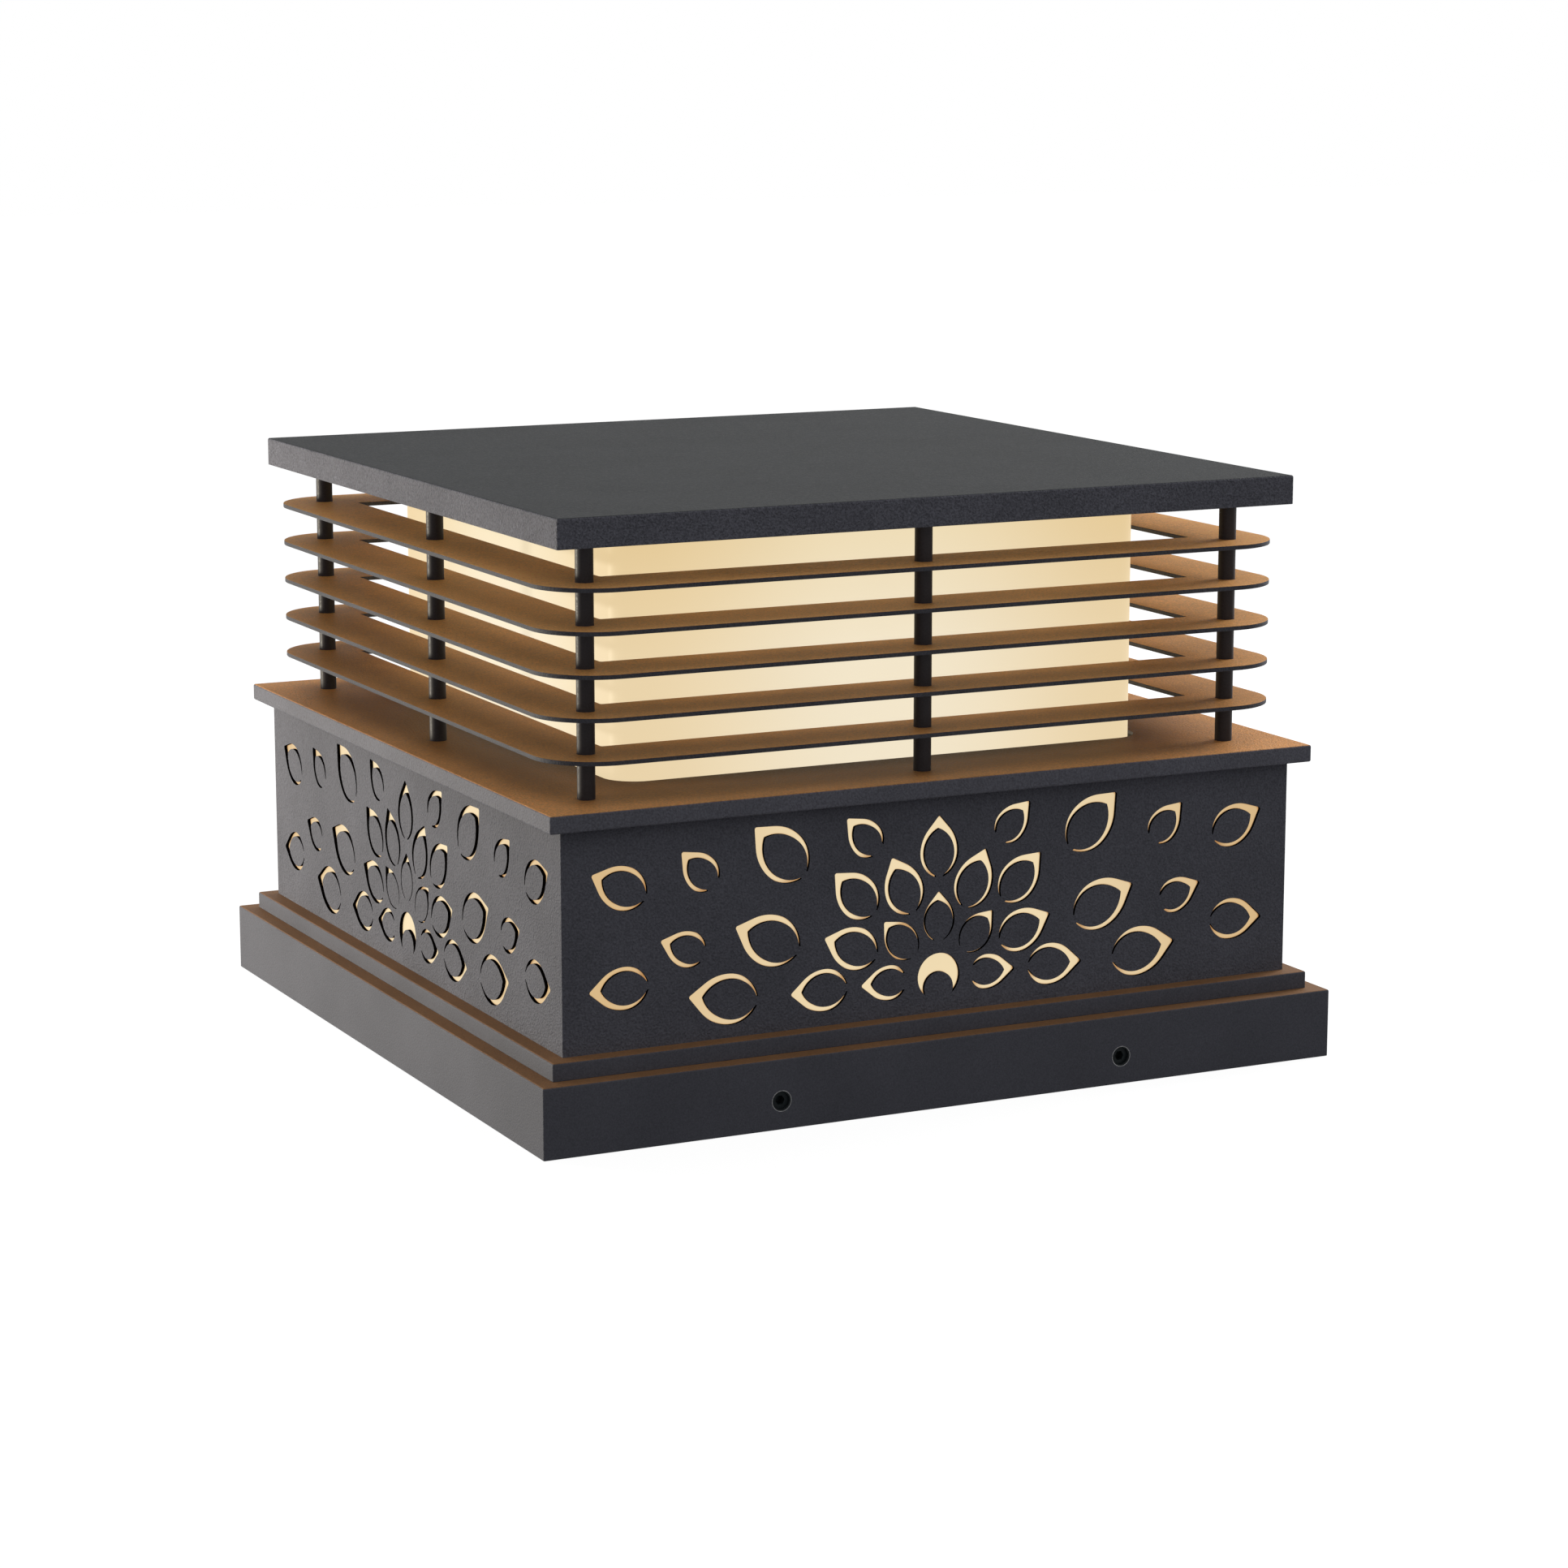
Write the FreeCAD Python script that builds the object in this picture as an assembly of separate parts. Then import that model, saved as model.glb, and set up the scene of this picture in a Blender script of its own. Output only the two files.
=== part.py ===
"""Pillar lamp for a deck, gate or garden post.

A square sheet-metal lamp. From the ground up it has a base skirt that covers two mounting bars, a step
moulding, a lit body with a lotus pattern cut through each of its four panels, an overhanging flange
plate, a white shade with five louver rings round it on eight posts, and a flat cap.

Millimetres, +Z up. The origin is at the middle of the base, on the surface that the lamp stands on.
The front, with two clamp screws in the skirt, faces -Y.
"""

import FreeCAD
import Part
import math
import os

# Outside sizes, from the ground up. Each width follows from the one below it.
skirt_width = 300.0
skirt_height = 24.0
step_inset = 6.0
step_height = 6.0
body_inset = 6.0
body_height = 75.0
flange_overhang = 6.0
flange_height = 6.0
cap_inset = 6.0
cap_height = 10.0

# Louver rings and the posts that carry them
ring_count = 5
ring_overhang = 0.5
ring_corner_radius = 22.0
ring_band = 26.5
ring_to_shade = 12.0
ring_thickness = 1.5
ring_gap = 12.5
lowest_gap = 13.5
highest_gap = 13.0
post_diameter = 6.0
post_fit = 0.05
post_hole_sides = 6
corner_post_setback = 3.5

# White shade, and the shelf and gaskets that hold it
shade_wall = 3.0
shade_corner_radius = 9.5
shade_clearance = 2.0
shelf_drop = 8.0
shelf_ledge = 5.0
gasket_thickness = 1.5
gasket_overhang = 1.0
gasket_width = 5.5

# Sheet thicknesses
skirt_sheet = 1.5
step_sheet = 1.5
panel_sheet = 1.2
flange_sheet = 1.2
cap_sheet = 1.5
shelf_sheet = 1.2
tray_sheet = 1.5

# How far the folded sheets reach inwards, measured from the body's faces
web_reach = 28.0
lip_reach = 7.0
slip_fit = 0.2

# Lit body
diffuser_sheet = 2.0
diffuser_fit = 0.3
angle_leg = 14.0
angle_sheet = 1.5

# Lamp gear inside the body
tray_overlap = 10.0
board_width = 140.0
board_thickness = 1.6
board_gap = 12.0
led_rows = 3
led_pitch = 42.0
led_side = 5.0
led_height = 1.0
gear_row_inset = 10.0
gear_gap = 7.0
driver_size = (110.0, 36.0, 24.0)
terminal_size = (40.0, 20.0, 18.0)
gland_inset = 12.0
gland_bore = 8.0
gland_thread = 12.0
gland_thread_above_tray = 6.0
gland_flats = 17.0
gland_body_height = 14.0
gland_nut_height = 3.5
gland_fit = 0.05

# Mounting bars under the skirt
bar_side_gap = 30.0
bar_sheet = 2.0
ear_setback = 30.0
ear_headroom = 4.5
anchor_inset = 15.0
anchor_diameter = 9.0

# Clamp screws through the front of the skirt
clamp_offset = 65.0
clamp_height = 9.7
insert_diameter = 7.2
insert_length = 7.0
insert_fit = 0.05
clamp_diameter = 6.0
clamp_fit = 0.05
clamp_length = 7.6
clamp_recess = 1.4
socket_flats = 3.0
socket_depth = 3.0

# Lotus pattern: the length of a petal from its tip to the line between its two ends, and its shape
# as shares of that length
large_petal = 25.0
medium_petal = 20.8
small_petal = 17.2
bud_petal = 16.6
petal_shape = {"gap": 0.116, "tip": 0.163, "outer_bulge": 0.286, "inner_bulge": 0.214}
bud_shape = {"gap": 0.148, "tip": 0.138, "outer_bulge": 0.278, "inner_bulge": 0.242}
outer_cuts = 4
inner_cuts = 3

# Where each petal's tip lies: (length, shape, distance from the middle, height above the panel's
# lower edge, tilt above level in degrees). Those off the middle are cut on both sides.
petal_places = [
    (small_petal, petal_shape, 28.5, 12.0, 0.0),
    (bud_petal, bud_shape, 20.2, 32.4, 47.0),
    (bud_petal, bud_shape, 0.0, 40.8, 90.0),
    (medium_petal, petal_shape, 54.8, 11.9, -1.0),
    (medium_petal, petal_shape, 42.3, 29.4, 22.0),
    (medium_petal, petal_shape, 38.7, 50.8, 45.0),
    (medium_petal, petal_shape, 17.6, 53.9, 67.5),
    (medium_petal, petal_shape, 0.0, 66.8, 90.0),
    (large_petal, petal_shape, 92.1, 15.0, 8.5),
    (large_petal, petal_shape, 75.1, 36.6, 24.0),
    (large_petal, petal_shape, 68.2, 69.0, 44.0),
    (small_petal, petal_shape, 34.2, 68.9, 45.5),
    (small_petal, petal_shape, 94.6, 63.2, 46.0),
    (small_petal, petal_shape, 102.1, 34.7, 21.0),
    (medium_petal, petal_shape, 126.5, 58.7, 25.0),
    (medium_petal, petal_shape, 127.6, 20.3, -1.5),
]

# The round heart of the lotus is a crescent between two circles
heart_radius = 8.0
heart_height = 12.4
heart_inner_radius = 5.5
heart_inner_drop = 4.0
heart_cuts = 9

# What stays plain between the pattern and the panel's upright and upper edges
lotus_side_margin = 10.4
lotus_top_margin = 6.0

# Widths and places worked out from the sizes above
step_width = skirt_width - 2 * step_inset
body_width = step_width - 2 * body_inset
flange_width = body_width + 2 * flange_overhang
cap_width = flange_width - 2 * cap_inset
ring_width = cap_width + 2 * ring_overhang
ring_opening = ring_width - 2 * ring_band
shade_width = ring_opening - 2 * ring_to_shade
middle_post_offset = (ring_width + ring_opening) / 4
corner_post_offset = middle_post_offset - corner_post_setback
shade_opening = shade_width + 2 * shade_clearance
shelf_opening = shade_width - 2 * shelf_ledge
web_opening = body_width - 2 * web_reach
lip_opening = body_width - 2 * lip_reach
tray_width = web_opening + 2 * tray_overlap
bar_length = skirt_width - 2 * bar_side_gap
ear_length = bar_length - 2 * ear_setback
ear_height = skirt_height - skirt_sheet - ear_headroom
anchor_spacing = bar_length - 2 * anchor_inset
bar_inner_edge = anchor_spacing / 2 - anchor_inset
gear_row_y = bar_inner_edge - gear_row_inset
board_centre_y = gear_row_y - driver_size[1] / 2 - board_gap - board_width / 2
gland_centre_x = bar_inner_edge - gland_inset
terminal_centre_x = gland_centre_x - (gland_flats + terminal_size[0]) / 2 - gear_gap
driver_centre_x = terminal_centre_x - (terminal_size[0] + driver_size[0]) / 2 - gear_gap

# The pattern stretches with its panel, and its petals with the lesser of the two
lotus_across = (body_width / 2 - lotus_side_margin) / max(place[2] for place in petal_places)
lotus_up = (body_height - lotus_top_margin) / max(place[3] for place in petal_places)
lotus_size = min(lotus_across, lotus_up)

# Levels worked out from the sizes above
step_base = skirt_height
body_base = step_base + step_height
flange_base = body_base + body_height
flange_top = flange_base + flange_height
ring_pitch = ring_gap + ring_thickness
first_ring_base = flange_top + lowest_gap
cap_base = first_ring_base + ring_count * ring_pitch - ring_gap + highest_gap
shelf_base = flange_top - flange_sheet - shelf_drop
shade_base = shelf_base + shelf_sheet + gasket_thickness
shade_top = cap_base - gasket_thickness
tray_top = body_base + tray_sheet

# Insides of the lit body, from the middle
panel_inside = body_width / 2 - panel_sheet
diffuser_inside = panel_inside - diffuser_sheet

# The mounting bars' ears, from the middle, and the clamp screws
front_ear_face = clamp_recess + clamp_length - skirt_width / 2
back_ear_face = skirt_width / 2 - skirt_sheet - slip_fit
clamp_places = (-clamp_offset, clamp_offset)

# The four sides in turn, as quarter turns about the middle from the front
sides = {"front": 0, "right": 90, "back": 180, "left": 270}
corners = {"front_left": 0, "front_right": 90, "back_right": 180, "back_left": 270}


def turned(shape, degrees):
    """A copy of the shape, turned about the vertical axis through the middle."""
    copy = shape.copy()
    copy.rotate(FreeCAD.Vector(0, 0, 0), FreeCAD.Vector(0, 0, 1), degrees)
    return copy


def block(size, centre_x, centre_y, base):
    """A box of the given size, centred in plan, on the level base."""
    corner = FreeCAD.Vector(centre_x - size[0] / 2, centre_y - size[1] / 2, base)
    return Part.makeBox(size[0], size[1], size[2], corner)


def rod(diameter, base, height, x=0.0, y=0.0):
    """An upright cylinder."""
    return Part.makeCylinder(diameter / 2, height, FreeCAD.Vector(x, y, base))


def square(width, base, height, radius=0.0):
    """A square prism about the middle, with rounded upright corners if a radius is given."""
    prism = block((width, width, height), 0, 0, base)
    if radius > 0:
        upright = [edge for edge in prism.Edges if abs(edge.tangentAt(edge.FirstParameter).z) > 0.9]
        prism = prism.makeFillet(radius, upright)
    return prism


def square_ring(outside, opening, base, height, outer_radius=0.0, inner_radius=0.0):
    """A square prism with a square opening through it."""
    outer = square(outside, base, height, outer_radius)
    return outer.cut(square(opening, base, height, inner_radius))


def flat_sided(flats, sides, base, height, x, y):
    """An upright prism with equal sides, measured across its flats."""
    reach = flats / 2 / math.cos(math.pi / sides)
    around = [2 * math.pi * corner / sides for corner in range(sides + 1)]
    points = [FreeCAD.Vector(x + reach * math.cos(a), y + reach * math.sin(a), base) for a in around]
    return Part.Face(Part.makePolygon(points)).extrude(FreeCAD.Vector(0, 0, height))


def merged(first, *others):
    """One solid from pieces that touch, with no leftover seams."""
    return first.fuse(list(others)).removeSplitter()


def folded_ring(outside, sheet, opening, base, height):
    """A square frame folded from sheet: an outer wall with a flat web turned inwards at its top."""
    wall = square_ring(outside, outside - 2 * sheet, base, height)
    web = square_ring(outside, opening, base + height - sheet, sheet)
    return merged(wall, web)


def clamp_shaft(diameter, depth, x):
    """A cylinder that runs inwards from the skirt's front face."""
    start = FreeCAD.Vector(x, -skirt_width / 2, clamp_height)
    return Part.makeCylinder(diameter / 2, depth, start, FreeCAD.Vector(0, 1, 0))


def base_skirt():
    """The largest frame. It covers the mounting bars and is clamped to them."""
    skirt = folded_ring(skirt_width, skirt_sheet, web_opening, 0, skirt_height)
    return skirt.cut([clamp_shaft(insert_diameter + 2 * insert_fit, skirt_sheet, x) for x in clamp_places])


def step_frame():
    """The step moulding between the skirt and the lit body."""
    return folded_ring(step_width, step_sheet, web_opening, step_base, step_height)


def arc_points(start, end, bulge, cuts):
    """Points after start, up to end, along an arc that rises by bulge to the left of its chord."""
    chord = math.dist(start, end)
    radius = (chord ** 2 / 4 + bulge ** 2) / (2 * bulge)
    heading = math.atan2(end[1] - start[1], end[0] - start[0])
    half_turn = math.asin(min(1.0, chord / 2 / abs(radius)))
    points = []
    for cut in range(1, cuts + 1):
        turn = half_turn * (1 - 2 * cut / cuts)
        along = chord / 2 - abs(radius) * math.sin(turn)
        rise = math.copysign(abs(radius) * (math.cos(turn) - math.cos(half_turn)), bulge)
        x = start[0] + along * math.cos(heading) - rise * math.sin(heading)
        y = start[1] + along * math.sin(heading) + rise * math.cos(heading)
        points.append((x, y))
    return points


def petal_outline(length, shape):
    """A pointed crescent with its tip at (0, 0) and its two fine ends at x = -length."""
    tip = (0.0, 0.0)
    inner_tip = (-shape["tip"] * length, 0.0)
    upper_end = (-length, shape["gap"] * length)
    lower_end = (-length, -shape["gap"] * length)
    outer = shape["outer_bulge"] * length
    inner = shape["inner_bulge"] * length
    outline = [tip]
    outline += arc_points(tip, upper_end, -outer, outer_cuts)
    outline += arc_points(upper_end, inner_tip, inner, inner_cuts)
    outline += arc_points(inner_tip, lower_end, inner, inner_cuts)
    outline += arc_points(lower_end, tip, -outer, outer_cuts)
    return outline


def heart_outline():
    """The crescent at the heart of the lotus, open at the bottom, about its outer circle's centre."""
    reach_squares = heart_radius ** 2 - heart_inner_radius ** 2 + heart_inner_drop ** 2
    end_drop = reach_squares / (2 * heart_inner_drop)
    end_x = math.sqrt(heart_radius ** 2 - end_drop ** 2)
    outline = []
    outer_start = math.atan2(-end_drop, end_x)
    outer_turn = math.pi - 2 * outer_start
    for cut in range(heart_cuts):
        angle = outer_start + outer_turn * cut / heart_cuts
        outline.append((heart_radius * math.cos(angle), heart_radius * math.sin(angle)))
    inner_start = math.atan2(heart_inner_drop - end_drop, end_x)
    inner_turn = math.pi - 2 * inner_start
    for cut in range(heart_cuts):
        angle = inner_start + inner_turn * (1 - cut / heart_cuts)
        x = heart_inner_radius * math.cos(angle)
        outline.append((x, heart_inner_radius * math.sin(angle) - heart_inner_drop))
    return outline


def slot_cutter(outline, tip_x, tip_height, tilt, mirrored=False):
    """A cutter through the front panel, from an outline placed and tilted on its face."""
    along = lotus_size * math.cos(math.radians(tilt))
    aside = lotus_size * math.sin(math.radians(tilt))
    flip = -1 if mirrored else 1
    points = []
    for x, y in outline + outline[:1]:
        across = lotus_across * tip_x + x * along - y * aside
        up = lotus_up * tip_height + x * aside + y * along
        points.append(FreeCAD.Vector(flip * across, -body_width / 2, body_base + up))
    return Part.Face(Part.makePolygon(points)).extrude(FreeCAD.Vector(0, panel_sheet, 0))


def lotus_cutters():
    """Every slot of the lotus pattern on the front panel."""
    cutters = [slot_cutter(heart_outline(), 0, heart_height, 0)]
    for length, shape, tip_x, tip_height, tilt in petal_places:
        outline = petal_outline(length, shape)
        cutters.append(slot_cutter(outline, tip_x, tip_height, tilt))
        if tip_x > 0:
            cutters.append(slot_cutter(outline, tip_x, tip_height, tilt, mirrored=True))
    return cutters


def pierced_panel():
    """The front panel: a sheet with mitred upright edges and the lotus cut through it."""
    outside = body_width / 2
    plan = [(-outside, -outside), (outside, -outside), (panel_inside, -panel_inside)]
    plan += [(-panel_inside, -panel_inside), (-outside, -outside)]
    points = [FreeCAD.Vector(x, y, body_base) for x, y in plan]
    sheet = Part.Face(Part.makePolygon(points)).extrude(FreeCAD.Vector(0, 0, body_height))
    return sheet.cut(lotus_cutters())


def diffuser(between):
    """The sheet behind the front panel, cut to fit between two faces that far apart."""
    size = (between - 2 * diffuser_fit, diffuser_sheet, body_height - diffuser_fit)
    return block(size, 0, diffuser_sheet / 2 - panel_inside, body_base)


def corner_angle():
    """The upright angle in the front left corner, which traps two diffusers and carries the flange."""
    near = -diffuser_inside
    leg = near + angle_leg
    skin = near + angle_sheet
    plan = [(near, near), (leg, near), (leg, skin), (skin, skin), (skin, leg), (near, leg), (near, near)]
    points = [FreeCAD.Vector(x, y, body_base) for x, y in plan]
    return Part.Face(Part.makePolygon(points)).extrude(FreeCAD.Vector(0, 0, body_height))


def flange_plate():
    """The overhanging plate: a pan whose rim is turned in again under it, onto the panels."""
    web_base = flange_top - flange_sheet
    opening_radius = shade_corner_radius + shade_clearance
    web = square_ring(flange_width, shade_opening, web_base, flange_sheet, 0, opening_radius)
    rim = square_ring(flange_width, flange_width - 2 * flange_sheet, flange_base, flange_height)
    lip = square_ring(flange_width, lip_opening, flange_base, flange_sheet)
    return merged(web, rim, lip)


def shade_shelf():
    """The shelf under the flange opening on which the shade stands."""
    outside = shade_opening + 2 * shelf_sheet
    wall = square_ring(outside, shade_opening, shelf_base, shelf_drop)
    floor = square_ring(outside, shelf_opening, shelf_base, shelf_sheet)
    return merged(wall, floor)


def shade_gasket(base):
    """A flat rubber frame at one end of the shade."""
    outside = shade_width + 2 * gasket_overhang
    return square_ring(outside, outside - 2 * gasket_width, base, gasket_thickness)


def shade():
    """The white square tube inside the louver rings."""
    inside = shade_width - 2 * shade_wall
    inner_radius = shade_corner_radius - shade_wall
    height = shade_top - shade_base
    return square_ring(shade_width, inside, shade_base, height, shade_corner_radius, inner_radius)


def post_places():
    """The name and the plan position of each of the eight posts."""
    corner = corner_post_offset
    middle = middle_post_offset
    return {
        "post_front_left": (-corner, -corner),
        "post_front_middle": (0.0, -middle),
        "post_front_right": (corner, -corner),
        "post_right_middle": (middle, 0.0),
        "post_back_right": (corner, corner),
        "post_back_middle": (0.0, middle),
        "post_back_left": (-corner, corner),
        "post_left_middle": (-middle, 0.0),
    }


def louver_ring(base):
    """A flat ring with rounded corners and a flat-sided hole close round each post."""
    ring = square_ring(ring_width, ring_opening, base, ring_thickness, ring_corner_radius)
    hole = post_diameter + 2 * post_fit
    places = post_places().values()
    return ring.cut([flat_sided(hole, post_hole_sides, base, ring_thickness, x, y) for x, y in places])


def cap_tray():
    """The shallow tray on the posts. Its rim carries the lid."""
    outside = cap_width - 2 * cap_sheet - 2 * slip_fit
    floor = square(outside, cap_base, cap_sheet)
    rim = square_ring(outside, outside - 2 * cap_sheet, cap_base, cap_height - cap_sheet)
    return merged(floor, rim)


def cap_lid():
    """The flat lid, folded down over the tray."""
    wall = square_ring(cap_width, cap_width - 2 * cap_sheet, cap_base, cap_height)
    top = square(cap_width, cap_base + cap_height - cap_sheet, cap_sheet)
    return merged(wall, top)


def gear_tray():
    """The plate that closes the body's underside and carries the lamp gear."""
    plate = square(tray_width, body_base, tray_sheet)
    hole = rod(gland_thread + 2 * gland_fit, body_base, tray_sheet, gland_centre_x, gear_row_y)
    return plate.cut(hole)


def led_board():
    """The aluminium board under the lamps."""
    size = (board_width, board_width, board_thickness)
    return block(size, 0, board_centre_y, tray_top)


def led_chips():
    """The lamps on the board, in a square grid."""
    size = (led_side, led_side, led_height)
    first = -led_pitch * (led_rows - 1) / 2
    chips = []
    for row in range(led_rows):
        for column in range(led_rows):
            x = first + column * led_pitch
            y = first + row * led_pitch + board_centre_y
            chips.append(block(size, x, y, tray_top + board_thickness))
    return Part.makeCompound(chips)


def cable_gland():
    """The gland through the tray. The supply cable comes up through its bore."""
    base = body_base - gland_body_height
    body = flat_sided(gland_flats, 6, base, gland_body_height, gland_centre_x, gear_row_y)
    thread_height = tray_sheet + gland_thread_above_tray
    thread = rod(gland_thread, body_base, thread_height, gland_centre_x, gear_row_y)
    bore = rod(gland_bore, base, gland_body_height + thread_height, gland_centre_x, gear_row_y)
    return merged(body, thread).cut(bore)


def gland_nut():
    """The locknut above the tray."""
    nut = flat_sided(gland_flats, 6, tray_top, gland_nut_height, gland_centre_x, gear_row_y)
    hole = rod(gland_thread + 2 * gland_fit, tray_top, gland_nut_height, gland_centre_x, gear_row_y)
    return nut.cut(hole)


def mounting_bar(ear_face):
    """One of the two angles that are bolted down first, with its ear at its outer edge.

    The clamp screws push on the front bar's ear and draw the skirt's back wall against the back bar's.
    """
    outward = math.copysign(1, ear_face)
    depth = abs(ear_face) - bar_inner_edge
    base = block((bar_length, depth, bar_sheet), 0, ear_face - outward * depth / 2, 0)
    ear = block((ear_length, bar_sheet, ear_height), 0, ear_face - outward * bar_sheet / 2, 0)
    half = anchor_spacing / 2
    holes = [rod(anchor_diameter, 0, bar_sheet, x, outward * half) for x in (-half, half)]
    return merged(base, ear).cut(holes)


def clamp_inserts():
    """Threaded sleeves set flush in the skirt's front."""
    sleeves = []
    for x in clamp_places:
        bore = clamp_shaft(clamp_diameter + 2 * clamp_fit, insert_length, x)
        sleeves.append(clamp_shaft(insert_diameter, insert_length, x).cut(bore))
    return Part.makeCompound(sleeves)


def clamp_screws():
    """Socket set screws, sunk in the inserts, with their ends on the front mounting bar's ear."""
    socket = flat_sided(socket_flats, 6, 0, clamp_recess + socket_depth, 0, 0)
    socket.rotate(FreeCAD.Vector(0, 0, 0), FreeCAD.Vector(1, 0, 0), -90)
    screws = []
    for x in clamp_places:
        shaft = clamp_shaft(clamp_diameter, clamp_recess + clamp_length, x)
        key_hole = socket.translated(FreeCAD.Vector(x, -skirt_width / 2, clamp_height))
        screws.append(shaft.cut([clamp_shaft(insert_diameter, clamp_recess, x), key_hole]))
    return Part.makeCompound(screws)


def assembly():
    """Every piece of the lamp by name."""
    parts = {
        "base_skirt": base_skirt(),
        "step_frame": step_frame(),
        "flange_plate": flange_plate(),
        "shade_shelf": shade_shelf(),
        "shade_gasket_lower": shade_gasket(shelf_base + shelf_sheet),
        "shade": shade(),
        "shade_gasket_upper": shade_gasket(shade_top),
        "cap_tray": cap_tray(),
        "cap_lid": cap_lid(),
        "gear_tray": gear_tray(),
        "led_board": led_board(),
        "led_chips": led_chips(),
        "led_driver": block(driver_size, driver_centre_x, gear_row_y, tray_top),
        "terminal_block": block(terminal_size, terminal_centre_x, gear_row_y, tray_top),
        "cable_gland": cable_gland(),
        "gland_nut": gland_nut(),
        "mounting_bar_front": mounting_bar(front_ear_face),
        "mounting_bar_back": mounting_bar(back_ear_face),
        "clamp_inserts": clamp_inserts(),
        "clamp_screws": clamp_screws(),
    }
    panel = pierced_panel()
    for side, degrees in sides.items():
        facing = side in ("front", "back")
        between = 2 * (panel_inside if facing else diffuser_inside)
        parts["pierced_panel_" + side] = turned(panel, degrees)
        parts["diffuser_" + side] = turned(diffuser(between), degrees)
    for corner, degrees in corners.items():
        parts["corner_angle_" + corner] = turned(corner_angle(), degrees)
    for number in range(ring_count):
        base = first_ring_base + number * ring_pitch
        parts["louver_ring_" + str(number + 1)] = louver_ring(base)
    for name, (x, y) in post_places().items():
        parts[name] = rod(post_diameter, flange_top, cap_base - flange_top, x, y)
    return parts


os.makedirs("parts", exist_ok=True)
for node, shape in assembly().items():
    shape.exportStep("parts/" + node + ".step")
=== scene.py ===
"""Looks for the pillar lamp: smooth sheet metal, lit shade and diffusers, powder coats and a pale stage.

Metres, +Z up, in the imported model's own frame. The front, with the two clamp screws, faces -Y.
"""

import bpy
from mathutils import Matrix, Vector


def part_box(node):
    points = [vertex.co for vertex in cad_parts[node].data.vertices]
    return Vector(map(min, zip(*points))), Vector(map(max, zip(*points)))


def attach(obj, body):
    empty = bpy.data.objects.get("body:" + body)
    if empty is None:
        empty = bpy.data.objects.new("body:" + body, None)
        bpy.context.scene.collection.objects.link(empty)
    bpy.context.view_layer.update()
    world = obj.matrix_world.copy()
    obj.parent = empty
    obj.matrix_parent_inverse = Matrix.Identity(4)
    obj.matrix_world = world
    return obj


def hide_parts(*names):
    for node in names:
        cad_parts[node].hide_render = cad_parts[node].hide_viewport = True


bl_info = {
    "name": "Pillar Lamp",
    "version": (1, 0, 0),
    "blender": (4, 5, 0),
    "location": "View3D > Sidebar > Pillar Lamp",
    "description": "Builds the pillar lamp's pieces, finishes, light and camera",
    "category": "Object",
}

import math

import bmesh
import bpy
from mathutils import Matrix, Vector

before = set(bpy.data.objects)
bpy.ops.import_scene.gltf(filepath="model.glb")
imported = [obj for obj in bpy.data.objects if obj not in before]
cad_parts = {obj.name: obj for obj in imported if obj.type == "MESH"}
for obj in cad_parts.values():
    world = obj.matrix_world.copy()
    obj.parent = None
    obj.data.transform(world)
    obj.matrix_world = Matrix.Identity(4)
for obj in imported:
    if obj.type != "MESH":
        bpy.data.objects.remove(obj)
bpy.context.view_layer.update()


def nodes_named(start):
    """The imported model's nodes whose names have this start, in order."""
    return tuple(sorted(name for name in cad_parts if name.startswith(start)))


MM = 0.001
BODY = "root"
SIDES = ("front", "right", "back", "left")
RING_NAMES = nodes_named("louver_ring_")
POST_NAMES = nodes_named("post_")

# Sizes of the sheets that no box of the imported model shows.
SKIRT_SHEET = 1.5 * MM
FLANGE_SHEET = 1.2 * MM
CAP_SHEET = 1.5 * MM
WEB_REACH = 28.0 * MM
LIP_REACH = 7.0 * MM
SHADE_CLEARANCE = 2.0 * MM
RING_BAND = 26.5 * MM
POST_FIT = 0.03 * MM
INNER_BEND = 0.05 * MM
SHADE_EDGE = 0.4 * MM

# Half widths of the body, of the openings under it, and of the opening in the flange's lip.
BODY_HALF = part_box("pierced_panel_front")[1].x
BASE_OPENING = BODY_HALF - WEB_REACH
FLANGE_LIP = BODY_HALF - LIP_REACH

# The lip round each clamp screw.
LIP_WIDTH = 0.22 * MM
LIP_CHAMFER = 0.3 * MM
SCREW_FIT = 0.05 * MM

# Straight steps round a bend, round an upright corner, and round a whole hole, post or insert.
BEND_STEPS = 4
SHARP_CORNER, FLANGE_CORNER, SHADE_CORNER, RING_CORNER = 4, 12, 20, 24
POST_HOLE, POST_ROUND, CLAMP_ROUND = 40, 48, 64

# Points nearer than the first are one point, and those nearer than the second lie on the same face.
SAME_POINT = 1e-7
SAME_FACE = 0.01 * MM

# Where the painted shade on a flat, darkest beside the shade's foot, starts to lift and where it has gone,
# from the lamp's axis.
FLANGE_SHADE_FADE = (104.0 * MM, 158.0 * MM)
RING_SHADE_FADE = (112.0 * MM, 145.0 * MM)

# Where the light of a diffuser and of the shade starts to fall and where it is lowest, as shares of
# the distance from a side's middle to its end.
DIFFUSER_FADE = (0.2, 1.0)
SHADE_FADE = (0.1, 0.95)

# How near a slot's wall dims the diffuser, and the open share of the view where that starts and ends.
WALL_REACH = 1.2 * MM
WALL_LIMITS = (0.45, 0.66)

WHITE = (1.0, 1.0, 1.0)
WHOLE = (0.0, 1.0)

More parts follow.
